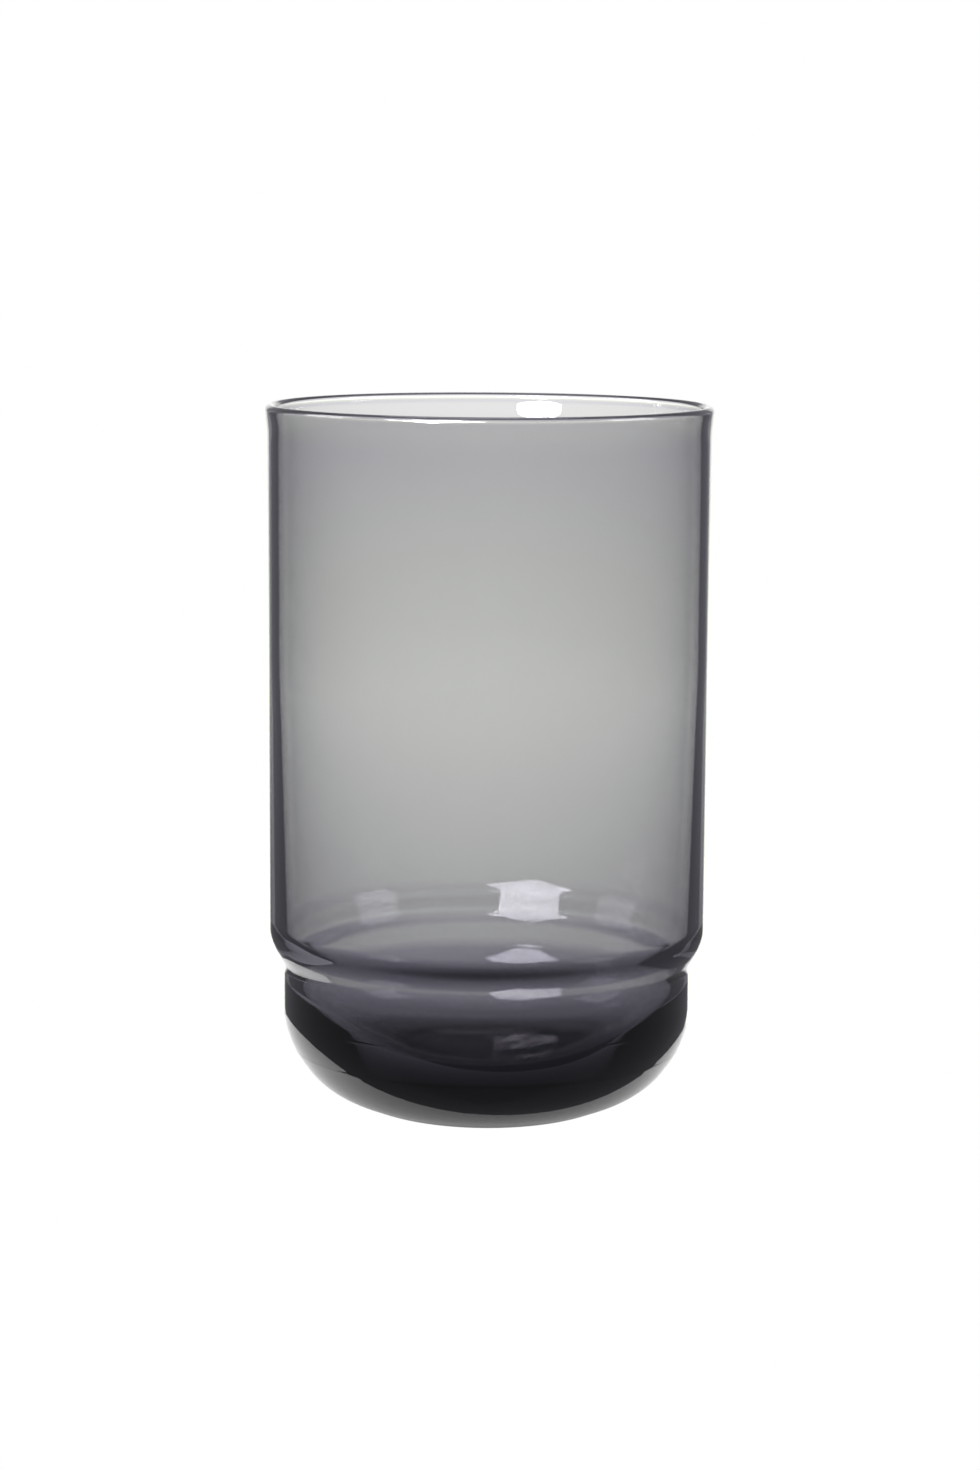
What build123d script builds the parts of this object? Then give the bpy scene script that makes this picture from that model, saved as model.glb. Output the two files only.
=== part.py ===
from build123d import *
import os

# One-piece smoke-grey glass vase: a straight cylindrical wall with a fire-polished lip, a rounded
# shoulder that steps in to a narrower base, and a thick bowl-shaped bottom that stands on the ring
# around a shallow punt. The base fits into the mouth of another vase like it, so that they stack.
# Millimetres, +Z up, origin on the axis, on the surface that the vase stands on.

# Driving dimensions, outside
HEIGHT = 127.3                 # foot plane to the top of the lip
LIP_RADIUS = 40.0              # outer radius of the lip, the widest place
WALL_RADIUS = 39.7             # outer radius of the straight wall
WAIST_RADIUS = 37.12           # outer radius of the base, under the shoulder
WAIST_HEIGHT = 26.62           # height of the groove between base and shoulder
GROOVE_BLEND = 4.46            # soft root of the groove
SHOULDER_HEIGHT = 31.02        # where the shoulder's slope and the wall would meet
SHOULDER_BLEND = 8.54          # radius of the rounded shoulder
BOWL_HEIGHT = 6.9              # where the side of the base and the underside would meet
BOWL_BLEND = 18.4              # radius of the bowl's side
FOOT_RADIUS = 20.5             # where the underside and the foot plane would meet
FOOT_BLEND = 14.0              # radius between the foot and the underside

# Driving dimensions, underside
PUNT_HEIGHT = 0.77             # how far the punt's flat ceiling is above the foot plane
PUNT_FLAT = 12.12              # where the punt's ceiling and its sloping side would meet
PUNT_FLAT_BLEND = 25.7
PUNT_RADIUS = 16.4             # where the punt's side and the foot ring would meet
PUNT_BLEND = 0.4

# Driving dimensions, inside
FLOOR_HEIGHT = 7.95            # thickness of the glass under the middle of the floor
FLOOR_RADIUS = 9.84            # where the level floor and its rising edge would meet
FLOOR_BLEND = 62.0
FLOOR_RISE = 2.19              # how far the rising edge climbs before it meets the wall
FLOOR_EDGE_BLEND = 15.13       # inside corner between the floor's edge and the base's wall
BASE_WALL = 3.65               # wall thickness of the base
INNER_GROOVE_HEIGHT = 26.4     # where the base's wall and the inner shoulder would meet
INNER_GROOVE_BLEND = 7.01
LOW_WALL = 3.16                # wall thickness just above the shoulder
INNER_SHOULDER_HEIGHT = 32.98  # where the inner shoulder and the wall would meet
INNER_SHOULDER_BLEND = 6.41
MOUTH_WALL = 2.05              # wall thickness of the straight mouth
MOUTH_DEPTH = 50.0             # depth at which the wall starts to thicken
MOUTH_BLEND = 400.0            # the change in thickness leaves no visible line

# Driving dimensions, lip
LIP_THICKNESS = 1.95
LIP_HEIGHT = 1.6               # the lip is widest from here up to where it rounds over
FLARE_HEIGHT = 5.0             # distance below the top at which the wall starts to flare
FLARE_BLEND = 20.0
LIP_START_BLEND = 5.0
LIP_BLEND = 0.96               # the lip is rounded almost to a half circle


def outer_corners():
    """Corners of the outside of the half section, from the punt up, each with its blend radius."""
    return [
        ((PUNT_FLAT, PUNT_HEIGHT), PUNT_FLAT_BLEND),
        ((PUNT_RADIUS, 0.0), PUNT_BLEND),
        ((FOOT_RADIUS, 0.0), FOOT_BLEND),
        ((WAIST_RADIUS, BOWL_HEIGHT), BOWL_BLEND),
        ((WAIST_RADIUS, WAIST_HEIGHT), GROOVE_BLEND),
        ((WALL_RADIUS, SHOULDER_HEIGHT), SHOULDER_BLEND),
        ((WALL_RADIUS, HEIGHT - FLARE_HEIGHT), FLARE_BLEND),
        ((LIP_RADIUS, HEIGHT - LIP_HEIGHT), LIP_START_BLEND),
        ((LIP_RADIUS, HEIGHT), LIP_BLEND),
    ]


def inner_corners():
    """Corners of the inside of the half section, from the lip down, each with its blend radius."""
    lip_radius = LIP_RADIUS - LIP_THICKNESS
    mouth_radius = WALL_RADIUS - MOUTH_WALL
    low_radius = WALL_RADIUS - LOW_WALL
    base_radius = WAIST_RADIUS - BASE_WALL
    return [
        ((lip_radius, HEIGHT), LIP_BLEND),
        ((lip_radius, HEIGHT - LIP_HEIGHT), LIP_START_BLEND),
        ((mouth_radius, HEIGHT - FLARE_HEIGHT), FLARE_BLEND),
        ((mouth_radius, HEIGHT - MOUTH_DEPTH), MOUTH_BLEND),
        ((low_radius, INNER_SHOULDER_HEIGHT), INNER_SHOULDER_BLEND),
        ((base_radius, INNER_GROOVE_HEIGHT), INNER_GROOVE_BLEND),
        ((base_radius, FLOOR_HEIGHT + FLOOR_RISE), FLOOR_EDGE_BLEND),
        ((FLOOR_RADIUS, FLOOR_HEIGHT), FLOOR_BLEND),
    ]


def glass_body():
    """The whole vase, which is one piece of glass, turned from its half section."""
    punt_centre = (0.0, PUNT_HEIGHT)
    floor_centre = (0.0, FLOOR_HEIGHT)
    corners = outer_corners() + inner_corners()
    points = [punt_centre] + [point for point, blend in corners] + [floor_centre]
    blends = [blend for point, blend in corners]
    with BuildPart() as body:
        with BuildSketch(Plane.XZ):
            with BuildLine():
                FilletPolyline(*points, radius=blends)
                Line(floor_centre, punt_centre)
            make_face()
        revolve(axis=Axis.Z)
    body.part.label = "glass_body"
    return body.part


def main():
    os.makedirs("parts", exist_ok=True)
    vase = glass_body()
    export_step(vase, "parts/glass_body.step")
    size = vase.bounding_box().size
    print(f"glass {vase.volume / 1000.0:.1f} cm3, {size.X:.2f} x {size.Y:.2f} x {size.Z:.2f} mm")


main()
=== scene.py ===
import math

import bpy
from mathutils import Matrix, Vector


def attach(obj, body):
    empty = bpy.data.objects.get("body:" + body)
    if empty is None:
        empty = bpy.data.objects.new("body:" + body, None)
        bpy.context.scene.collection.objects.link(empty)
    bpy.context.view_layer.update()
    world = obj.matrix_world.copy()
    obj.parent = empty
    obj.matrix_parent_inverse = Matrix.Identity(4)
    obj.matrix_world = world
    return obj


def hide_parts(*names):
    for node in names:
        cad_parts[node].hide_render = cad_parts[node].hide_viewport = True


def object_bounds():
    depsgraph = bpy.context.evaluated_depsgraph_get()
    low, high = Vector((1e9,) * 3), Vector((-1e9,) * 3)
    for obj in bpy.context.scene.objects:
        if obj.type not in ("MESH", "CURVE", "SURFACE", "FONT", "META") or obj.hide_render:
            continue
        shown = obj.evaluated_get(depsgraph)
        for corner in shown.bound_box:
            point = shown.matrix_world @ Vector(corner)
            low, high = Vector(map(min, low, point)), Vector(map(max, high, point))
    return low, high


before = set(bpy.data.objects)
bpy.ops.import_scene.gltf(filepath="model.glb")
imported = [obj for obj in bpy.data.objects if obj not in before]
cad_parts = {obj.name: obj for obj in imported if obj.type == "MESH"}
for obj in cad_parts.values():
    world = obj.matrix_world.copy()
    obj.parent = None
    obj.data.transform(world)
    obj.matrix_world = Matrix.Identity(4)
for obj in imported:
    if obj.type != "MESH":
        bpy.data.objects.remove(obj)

cad_low, cad_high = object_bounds()
MM = 0.001

# The half section of the glass, in millimetres: where the straight runs would meet, and the
# radius that blends each corner. The height and the lip's radius come from the CAD frame.
HEIGHT = cad_high.z / MM
LIP_RADIUS = cad_high.x / MM
WALL_RADIUS = 39.7
WAIST_RADIUS = 37.12
WAIST_HEIGHT = 26.62
GROOVE_BLEND = 4.46
SHOULDER_HEIGHT = 31.02
SHOULDER_BLEND = 8.54
BOWL_HEIGHT = 6.9
BOWL_BLEND = 18.4
FOOT_RADIUS = 20.5
FOOT_BLEND = 14.0
PUNT_HEIGHT = 0.77
PUNT_FLAT = 12.12
PUNT_FLAT_BLEND = 25.7
PUNT_RADIUS = 16.4
PUNT_BLEND = 0.4
FLOOR_HEIGHT = 7.95
FLOOR_EDGE_RADIUS = 9.84
FLOOR_EDGE_BLEND = 62.0
FLOOR_EDGE_RISE = 2.19
FLOOR_BLEND = 15.13
BASE_WALL = 3.65
INNER_GROOVE_HEIGHT = 26.4
INNER_GROOVE_BLEND = 7.01
LOW_WALL = 3.16
INNER_SHOULDER_HEIGHT = 32.98
INNER_SHOULDER_BLEND = 6.41
MOUTH_WALL = 2.05
MOUTH_DEPTH = 50.0
MOUTH_BLEND = 400.0
LIP_THICKNESS = 1.95
LIP_HEIGHT = 1.6
FLARE_HEIGHT = 5.0
FLARE_BLEND = 20.0
LIP_START_BLEND = 5.0
LIP_BLEND = 0.96
OUTSIDE = [
    ((PUNT_FLAT, PUNT_HEIGHT), PUNT_FLAT_BLEND),
    ((PUNT_RADIUS, 0.0), PUNT_BLEND),
    ((FOOT_RADIUS, 0.0), FOOT_BLEND),
    ((WAIST_RADIUS, BOWL_HEIGHT), BOWL_BLEND),
    ((WAIST_RADIUS, WAIST_HEIGHT), GROOVE_BLEND),
    ((WALL_RADIUS, SHOULDER_HEIGHT), SHOULDER_BLEND),
    ((WALL_RADIUS, HEIGHT - FLARE_HEIGHT), FLARE_BLEND),
    ((LIP_RADIUS, HEIGHT - LIP_HEIGHT), LIP_START_BLEND),
    ((LIP_RADIUS, HEIGHT), LIP_BLEND),
]
INSIDE = [
    ((LIP_RADIUS - LIP_THICKNESS, HEIGHT), LIP_BLEND),
    ((LIP_RADIUS - LIP_THICKNESS, HEIGHT - LIP_HEIGHT), LIP_START_BLEND),
    ((WALL_RADIUS - MOUTH_WALL, HEIGHT - FLARE_HEIGHT), FLARE_BLEND),
    ((WALL_RADIUS - MOUTH_WALL, HEIGHT - MOUTH_DEPTH), MOUTH_BLEND),
    ((WALL_RADIUS - LOW_WALL, INNER_SHOULDER_HEIGHT), INNER_SHOULDER_BLEND),
    ((WAIST_RADIUS - BASE_WALL, INNER_GROOVE_HEIGHT), INNER_GROOVE_BLEND),
    ((WAIST_RADIUS - BASE_WALL, FLOOR_HEIGHT + FLOOR_EDGE_RISE), FLOOR_BLEND),
    ((FLOOR_EDGE_RADIUS, FLOOR_HEIGHT), FLOOR_EDGE_BLEND),
]

# The mesh, in millimetres: steps along an arc and along a straight run, the short steps where a
# run joins an arc, and the steps around.
ARC_STEP = math.radians(1.5)
ARC_LENGTH = 0.25
ARC_LEAST_STEPS = 4
LINE_STEP = 2.5
JOIN_STEP = 0.25
SHORT_LINE = 4.0 * JOIN_STEP
NO_LENGTH = 1e-6
SEGMENTS = 256

# The mould seam: a fine raised ring around the bowl, in millimetres. Only points outside
# SEAM_INSIDE are raised, so the hollow stays smooth.
SEAM_INSIDE = WAIST_RADIUS - BASE_WALL / 2.0
SEAM_HEIGHT = 11.1
SEAM_RISE = 0.05
SEAM_HALF_WIDTH = 0.35
SEAM_STEP = 0.12

# The inside of the glass isn't perfectly round: waves around it, as (count, depth in millimetres,
# start in radians, climb in radians per millimetre). They fade out over WAVE_FADE at both ends.
WAVES = [
    (3, 0.030, 0.4, 0.010),
    (7, 0.010, 1.9, 0.017),
    (19, 0.002, 0.7, 0.031),
]
WAVE_FADE = 12.0

# The camera, in metres and radians: in front of the vase at -Y, looking a little down. Its focal
# length is in picture heights, and SENSOR is in millimetres.
CAMERA_PLACE = (0.0004, -0.630, 0.1631)
CAMERA_PITCH = 0.1502
CAMERA_ROLL = 0.0061
CAMERA_FOCAL = 2.40204
SENSOR = 36.0
CLIP_NEAR = 0.01
CLIP_FAR = 50.0

# The glass: its refractive index, and the colour and density of its volume absorption. Along a
# metre of glass each colour falls off as exp(-ABSORB_DENSITY * (1 - colour)).
REFRACTION = 1.52
ABSORB_COLOR = (0.1267, 0.1133, 0.185, 1.0)
ABSORB_DENSITY = 300.0

# The table is the round top of a white plinth, in metres, that only the glass sees. Its light and shade
# are painted: it glows from GLOW_LEFT to GLOW_RIGHT as a painted side light, times SHADE within the foot
# ring as a painted contact shadow, and times a painted shadow that climbs from OUTER_SHADE at the ring
# to 1 at OUTER_RADIUS.
TABLE_DROP = -0.0002
TABLE_X = -0.006
TABLE_Y = 0.033
TABLE_RADIUS = 0.062
GLOW_LEFT = 1.6
GLOW_RIGHT = 1.35
SHADE_RADIUS = 0.0170
SHADE_SOFT = 0.0003
SHADE = 0.1508
OUTER_SHADE = 0.1
OUTER_RADIUS = 0.040

# The pale floor, in metres, that only the camera sees.
STUDIO_FLOOR_DROP = -0.0006
STUDIO_FLOOR_RADIUS = 3.0
CIRCLE_STEPS = 128

# The lights: a square key softbox that stands on its corner at the camera's left, and a fill on
# each side. Angles are in degrees, the distance is in metres, and HALF is half a light's width.
KEY_AZIMUTH = 28.6
KEY_ELEVATION = 27.0
KEY_HALF_DIAGONAL = 26.1
LIGHT_DISTANCE = 1.5
KEY_RADIANCE = 32.0
LEFT_FILL = 95.0
RIGHT_FILL = -80.0
FILL_ELEVATION = 28.0
FILL_HALF = 14.0
FILL_RADIANCE = 6.0

# What the glass sees around it, in degrees and in radiance. A bright panel stands behind the vase,
# PANEL_HALF to either side. Going down it brightens from PANEL_HIGH to PANEL_LOW, then falls back
# to PANEL_FLOOR. Light that no surface has reflected sees the panel all round. The rest is a dim
# room: AMBIENT above the horizon, BELOW_SIDE under it and BELOW_FRONT under it at the camera's side.
PANEL_HALF = 20.6
PANEL_SOFT = 3.0
PANEL_TOP = 12.0
PANEL_BOTTOM = -30.0
PANEL_HIGH = 1.28
PANEL_LOW = 2.08
PANEL_FLOOR = 1.4
PANEL_HIGH_ELEVATION = -3.0
PANEL_LOW_ELEVATION = -12.0
PANEL_FADE_ELEVATION = -15.0
PANEL_FLOOR_ELEVATION = -20.0
PANEL_HIGH_TINT = (1.0, 1.0, 0.99, 1.0)
PANEL_LOW_TINT = (1.0, 1.035, 0.91, 1.0)
TINT_HIGH_ELEVATION = -3.0
TINT_LOW_ELEVATION = -6.0
ONE_REFLECTION = 0.5
AMBIENT = 0.5
BELOW_SIDE = 0.2
BELOW_FRONT = 0.17
SIDE_AZIMUTH = 100.0
FRONT_AZIMUTH = 130.0
ROOM_TINT = (0.98, 0.98, 1.08, 1.0)
WHITE = (1.0, 1.0, 1.0, 1.0)

# Light paths: how many bounces, and the brightest that a bounced sample may be.
BOUNCES = 32
CLAMP = 60.0


def add_line(points, end):
    """A straight run to end, with a short step at each end to keep the shading of the arcs out."""
    start = points[-1]
    length = (end - start).length
    if length < NO_LENGTH:
        return
    if length > SHORT_LINE:
        points.append(start.lerp(end, JOIN_STEP / length))
        middle = length - 2.0 * JOIN_STEP
        steps = math.ceil(middle / LINE_STEP)
        for k in range(1, steps + 1):
            points.append(start.lerp(end, (JOIN_STEP + middle * k / steps) / length))
    points.append(end)


def rounded(start, corners, end):
    """Points along an open outline whose corners are blended with arcs."""
    points = [Vector(start)]
    route = [Vector(start)] + [Vector(place) for place, blend in corners] + [Vector(end)]
    for before, corner, after, (place, blend) in zip(route, route[1:], route[2:], corners):
        back = (before - corner).normalized()
        ahead = (after - corner).normalized()
        half = back.angle(ahead) / 2.0
        centre = corner + (back + ahead).normalized() * (blend / math.sin(half))
        first = corner + back * (blend / math.tan(half)) - centre
        turn = math.pi - 2.0 * half
        steps = max(ARC_LEAST_STEPS, math.ceil(min(turn / ARC_STEP, turn * blend / ARC_LENGTH)))
        if back.x * ahead.y - back.y * ahead.x > 0.0:
            turn = -turn
        add_line(points, centre + first)
        for k in range(1, steps + 1):
            points.append(centre + Matrix.Rotation(turn * k / steps, 2) @ first)
    add_line(points, Vector(end))
    return points


def with_seam(points):
    """The outline with finer steps and a low ridge where it crosses the height of the seam."""
    raised = []
    for start, end in zip(points, points[1:]):
        raised.append(start)
        near = min(abs(start.y - SEAM_HEIGHT), abs(end.y - SEAM_HEIGHT)) < 3.0 * SEAM_HALF_WIDTH
        if near and start.x > SEAM_INSIDE:
            steps = math.ceil((end - start).length / SEAM_STEP)
            raised += [start.lerp(end, k / steps) for k in range(1, steps)]
    raised.append(points[-1])
    for point in raised:
        if point.x > SEAM_INSIDE:
            away = (point.y - SEAM_HEIGHT) / SEAM_HALF_WIDTH
            point.x += SEAM_RISE * math.exp(-2.0 * away**2)
    return raised


def unevenness(angle, height):
    """How far the inside wall is from round, in millimetres."""
    total = 0.0
    for count, depth, start, climb in WAVES:
        total += depth * math.sin(count * angle + start + climb * height)
    return total


def lathe(name, outline):
    """A closed mesh turned from a half section that starts and ends on the axis."""
    top = max(range(len(outline)), key=lambda index: outline[index].y)
    verts = [(0.0, 0.0, outline[0].y * MM)]
    for index, point in enumerate(outline[1:-1], start=1):
        height = point.y
        uneven = 0.0
        if index > top:
            uneven = min(1.0, (HEIGHT - height) / WAVE_FADE, (height - FLOOR_HEIGHT) / WAVE_FADE)
        for k in range(SEGMENTS):
            angle = 2.0 * math.pi * k / SEGMENTS
            radius = (point.x + uneven * unevenness(angle, height)) * MM
            verts.append((radius * math.cos(angle), radius * math.sin(angle), height * MM))
    verts.append((0.0, 0.0, outline[-1].y * MM))
    faces = []
    rings = len(outline) - 2
    last = 1 + (rings - 1) * SEGMENTS
    for k in range(SEGMENTS):
        n = (k + 1) % SEGMENTS
        faces.append((0, 1 + n, 1 + k))
        for low in range(1, last, SEGMENTS):
            high = low + SEGMENTS
            faces.append((low + k, low + n, high + n, high + k))
        faces.append((last + k, last + n, len(verts) - 1))
    mesh = bpy.data.meshes.new(name)
    mesh.from_pydata(verts, [], faces)
    mesh.shade_smooth()
    body = bpy.data.objects.new(name, mesh)
    bpy.context.scene.collection.objects.link(body)
    return body


def smoke_glass():
    """Clear glass that absorbs light along its thickness: grey where thin, violet-black where thick."""
    material = bpy.data.materials.new("smoke_glass")
    material.use_nodes = True
    nodes = material.node_tree.nodes
    links = material.node_tree.links
    shader = nodes["Principled BSDF"]
    shader.inputs["Base Color"].default_value = WHITE
    shader.inputs["Roughness"].default_value = 0.0
    shader.inputs["IOR"].default_value = REFRACTION
    shader.inputs["Transmission Weight"].default_value = 1.0
    tint = nodes.new("ShaderNodeVolumeAbsorption")
    tint.inputs["Color"].default_value = ABSORB_COLOR
    tint.inputs["Density"].default_value = ABSORB_DENSITY
    links.new(tint.outputs["Volume"], nodes["Material Output"].inputs["Volume"])
    return material


def make_glass():
    """The vase, in the CAD body's place."""
    outline = with_seam(rounded((0.0, PUNT_HEIGHT), OUTSIDE + INSIDE, (0.0, FLOOR_HEIGHT)))
    glass = lathe("vase_glass", outline)
    glass.data.materials.append(smoke_glass())
    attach(glass, "root")
    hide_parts("glass_body")


def make_camera():
    data = bpy.data.cameras.new("camera")
    data.sensor_width = SENSOR
    data.lens = SENSOR * CAMERA_FOCAL
    data.clip_start = CLIP_NEAR
    data.clip_end = CLIP_FAR
    camera = bpy.data.objects.new("camera", data)
    bpy.context.scene.collection.objects.link(camera)
    painted_side_light = Matrix.Rotation(math.radians(90.0) - CAMERA_PITCH, 4, "X")
    camera.matrix_world = Matrix.Translation(CAMERA_PLACE) @ painted_side_light @ Matrix.Rotation(CAMERA_ROLL, 4, "Z")
    bpy.context.scene.camera = camera


def map_range(tree, value, low, high, to_low, to_high, shape):
    """One number remapped from low..high to to_low..to_high, held at the ends."""
    node = tree.nodes.new("ShaderNodeMapRange")
    node.interpolation_type = shape
    sides = (value, low, high, to_low, to_high)
    for name, number in zip(("Value", "From Min", "From Max", "To Min", "To Max"), sides):
        if isinstance(number, (int, float)):
            node.inputs[name].default_value = number
        else:
            tree.links.new(number, node.inputs[name])
    return node.outputs["Result"]


def glow(name, strength):
    """A plain white surface that shines evenly."""
    material = bpy.data.materials.new(name)
    material.use_nodes = True
    nodes = material.node_tree.nodes
    nodes.clear()
    white = nodes.new("ShaderNodeEmission")
    white.inputs["Color"].default_value = WHITE
    white.inputs["Strength"].default_value = strength
    output = nodes.new("ShaderNodeOutputMaterial")
    material.node_tree.links.new(white.outputs[0], output.inputs["Surface"])
    return material


def make_floor():
    """The pale floor: the camera sees it, and the glass sees the table and the panel instead."""
    bpy.ops.mesh.primitive_circle_add(
        vertices=CIRCLE_STEPS,
        radius=STUDIO_FLOOR_RADIUS,
        fill_type="NGON",
        location=(0.0, 0.0, STUDIO_FLOOR_DROP),
    )
    floor = bpy.context.object
    floor.name = "floor"
    floor.data.materials.append(glow("floor", 1.0))
    floor.visible_diffuse = False
    floor.visible_glossy = False
    floor.visible_transmission = False


def painted_table_light():
    """Glowing white paper with painted light and shade: a painted contact shadow under the foot and
    around it, and painted light that makes it brighter towards one side.
    """
    material = glow("table", 1.0)
    tree = material.node_tree
    nodes = tree.nodes
    links = tree.links
    place = nodes.new("ShaderNodeNewGeometry").outputs["Position"]
    split = nodes.new("ShaderNodeSeparateXYZ")
    links.new(place, split.inputs[0])
    # Painted light: the table glows brighter at the left than at the right.
    left = TABLE_X - TABLE_RADIUS
    right = TABLE_X + TABLE_RADIUS
    painted_side_light = map_range(tree, split.outputs["X"], left, right, GLOW_LEFT, GLOW_RIGHT, "LINEAR")
    length = nodes.new("ShaderNodeVectorMath")
    length.operation = "LENGTH"
    links.new(place, length.inputs[0])
    reach = length.outputs["Value"]
    # Painted shadow: a dark spot of SHADE within the foot ring, and a painted shadow around the foot
    # that fades from OUTER_SHADE at the ring to none at OUTER_RADIUS.
    near = SHADE_RADIUS - SHADE_SOFT
    far = SHADE_RADIUS + SHADE_SOFT
    within = map_range(tree, reach, near, far, 1.0, 0.0, "SMOOTHSTEP")
    painted_shadow_skirt = map_range(tree, reach, SHADE_RADIUS, OUTER_RADIUS, OUTER_SHADE, 1.0, "LINEAR")
    shade = nodes.new("ShaderNodeMix")
    links.new(within, shade.inputs["Factor"])
    links.new(painted_shadow_skirt, shade.inputs["A"])
    shade.inputs["B"].default_value = SHADE
    total = nodes.new("ShaderNodeMath")
    total.operation = "MULTIPLY"
    links.new(painted_side_light, total.inputs[0])
    links.new(shade.outputs["Result"], total.inputs[1])
    links.new(total.outputs[0], nodes["Emission"].inputs["Strength"])
    return material


def make_table():
    """The plinth's top that the vase stands on near its front edge, seen only through the glass."""
    bpy.ops.mesh.primitive_circle_add(
        vertices=CIRCLE_STEPS,
        radius=TABLE_RADIUS,
        fill_type="NGON",
        location=(TABLE_X, TABLE_Y, TABLE_DROP),
    )
    table = bpy.context.object
    table.name = "table"
    table.data.materials.append(painted_table_light())
    table.visible_camera = False


def softbox(name, azimuth, elevation, half_width, half_height, roll, radiance):
    """A softbox that faces the vase; azimuth runs from the camera's side towards its left."""
    data = bpy.data.lights.new(name, "AREA")
    data.shape = "RECTANGLE"
    data.size = 2.0 * LIGHT_DISTANCE * math.tan(math.radians(half_width))
    data.size_y = 2.0 * LIGHT_DISTANCE * math.tan(math.radians(half_height))
    data.energy = radiance * math.pi * data.size * data.size_y
    light = bpy.data.objects.new(name, data)
    a = math.radians(azimuth)
    e = math.radians(elevation)
    way = Vector((-math.sin(a) * math.cos(e), -math.cos(a) * math.cos(e), math.sin(e)))
    middle = Vector((0.0, 0.0, (cad_low.z + cad_high.z) / 2.0))
    facing = way.to_track_quat("Z", "Y").to_matrix().to_4x4()
    place = Matrix.Translation(middle + way * LIGHT_DISTANCE)
    light.matrix_world = place @ facing @ Matrix.Rotation(roll, 4, "Z")
    bpy.context.scene.collection.objects.link(light)


def make_lights():
    """The key softbox stands on its corner; two dimmer ones fill the sides."""
    side = math.degrees(math.atan(math.tan(math.radians(KEY_HALF_DIAGONAL)) / math.sqrt(2.0)))
    softbox("key", KEY_AZIMUTH, KEY_ELEVATION, side, side, math.radians(45.0), KEY_RADIANCE)
    softbox("left_fill", LEFT_FILL, FILL_ELEVATION, FILL_HALF, FILL_HALF, 0.0, FILL_RADIANCE)
    softbox("right_fill", RIGHT_FILL, FILL_ELEVATION, FILL_HALF, FILL_HALF, 0.0, FILL_RADIANCE)


def make_world():
    """A bright panel behind the vase in a dim room; the camera itself sees plain white."""
    world = bpy.data.worlds.new("studio")
    world.use_nodes = True
    tree = world.node_tree
    nodes = tree.nodes
    links = tree.links
    background = nodes["Background"]

    def maths(operation, a, b=None):
        node = nodes.new("ShaderNodeMath")
        node.operation = operation
        for socket, value in zip(node.inputs, (a, b)):
            if isinstance(value, (int, float)):
                socket.default_value = value
            elif value is not None:
                links.new(value, socket)
        return node.outputs[0]

    def ramp(value, middle, to_low, to_high):
        low = middle - PANEL_SOFT
        high = middle + PANEL_SOFT
        return map_range(tree, value, low, high, to_low, to_high, "SMOOTHSTEP")

    way = nodes.new("ShaderNodeTexCoord")
    split = nodes.new("ShaderNodeSeparateXYZ")
    links.new(way.outputs["Generated"], split.inputs[0])
    x, y, z = split.outputs
    degree = 180.0 / math.pi
    azimuth = maths("MULTIPLY", maths("ARCTAN2", maths("ABSOLUTE", x), y), degree)
    elevation = maths("MULTIPLY", maths("ARCSINE", z), degree)
    path = nodes.new("ShaderNodeLightPath")
    straight = maths("LESS_THAN", path.outputs["Glossy Depth"], ONE_REFLECTION)
    across = maths("MAXIMUM", ramp(azimuth, PANEL_HALF, 1.0, 0.0), straight)
    under = ramp(elevation, PANEL_TOP, 1.0, 0.0)
    over = ramp(elevation, PANEL_BOTTOM, 0.0, 1.0)
    mask = maths("MULTIPLY", across, maths("MULTIPLY", under, over))
    panel = map_range(
        tree, elevation, PANEL_LOW_ELEVATION, PANEL_HIGH_ELEVATION, PANEL_LOW, PANEL_HIGH, "LINEAR"
    )
    fading = map_range(
        tree, elevation, PANEL_FLOOR_ELEVATION, PANEL_FADE_ELEVATION, PANEL_FLOOR, PANEL_LOW, "LINEAR"
    )
    panel = maths("MINIMUM", panel, fading)
    below = map_range(tree, azimuth, SIDE_AZIMUTH, FRONT_AZIMUTH, BELOW_SIDE, BELOW_FRONT, "SMOOTHSTEP")
    room = ramp(elevation, 0.0, below, AMBIENT)
    room = maths("MULTIPLY", room, maths("SUBTRACT", 1.0, mask))
    lit = maths("ADD", maths("MULTIPLY", panel, mask), room)
    camera = path.outputs["Is Camera Ray"]
    unseen = maths("SUBTRACT", 1.0, camera)
    links.new(maths("ADD", maths("MULTIPLY", lit, unseen), camera), background.inputs["Strength"])
    tint = nodes.new("ShaderNodeMix")
    tint.data_type = "RGBA"
    height = map_range(tree, elevation, TINT_LOW_ELEVATION, TINT_HIGH_ELEVATION, 0.0, 1.0, "LINEAR")
    steep = map_range(tree, elevation, PANEL_FLOOR_ELEVATION, PANEL_FADE_ELEVATION, 1.0, 0.0, "LINEAR")
    links.new(maths("MAXIMUM", height, steep), tint.inputs["Factor"])
    tint.inputs["A"].default_value = PANEL_LOW_TINT
    tint.inputs["B"].default_value = PANEL_HIGH_TINT
    cast = nodes.new("ShaderNodeMix")
    cast.data_type = "RGBA"
    links.new(mask, cast.inputs["Factor"])
    cast.inputs["A"].default_value = ROOM_TINT
    links.new(tint.outputs["Result"], cast.inputs["B"])
    seen = nodes.new("ShaderNodeMix")
    seen.data_type = "RGBA"
    links.new(camera, seen.inputs["Factor"])
    links.new(cast.outputs["Result"], seen.inputs["A"])
    seen.inputs["B"].default_value = WHITE
    links.new(seen.outputs["Result"], background.inputs["Color"])
    bpy.context.scene.world = world


def make_studio():
    scene = bpy.context.scene
    scene.view_settings.view_transform = "Standard"
    scene.cycles.max_bounces = BOUNCES
    scene.cycles.transmission_bounces = BOUNCES
    scene.cycles.glossy_bounces = BOUNCES
    scene.cycles.use_denoising = True
    scene.cycles.sample_clamp_indirect = CLAMP
    make_world()
    make_floor()
    make_table()
    make_lights()


make_glass()
make_camera()
make_studio()
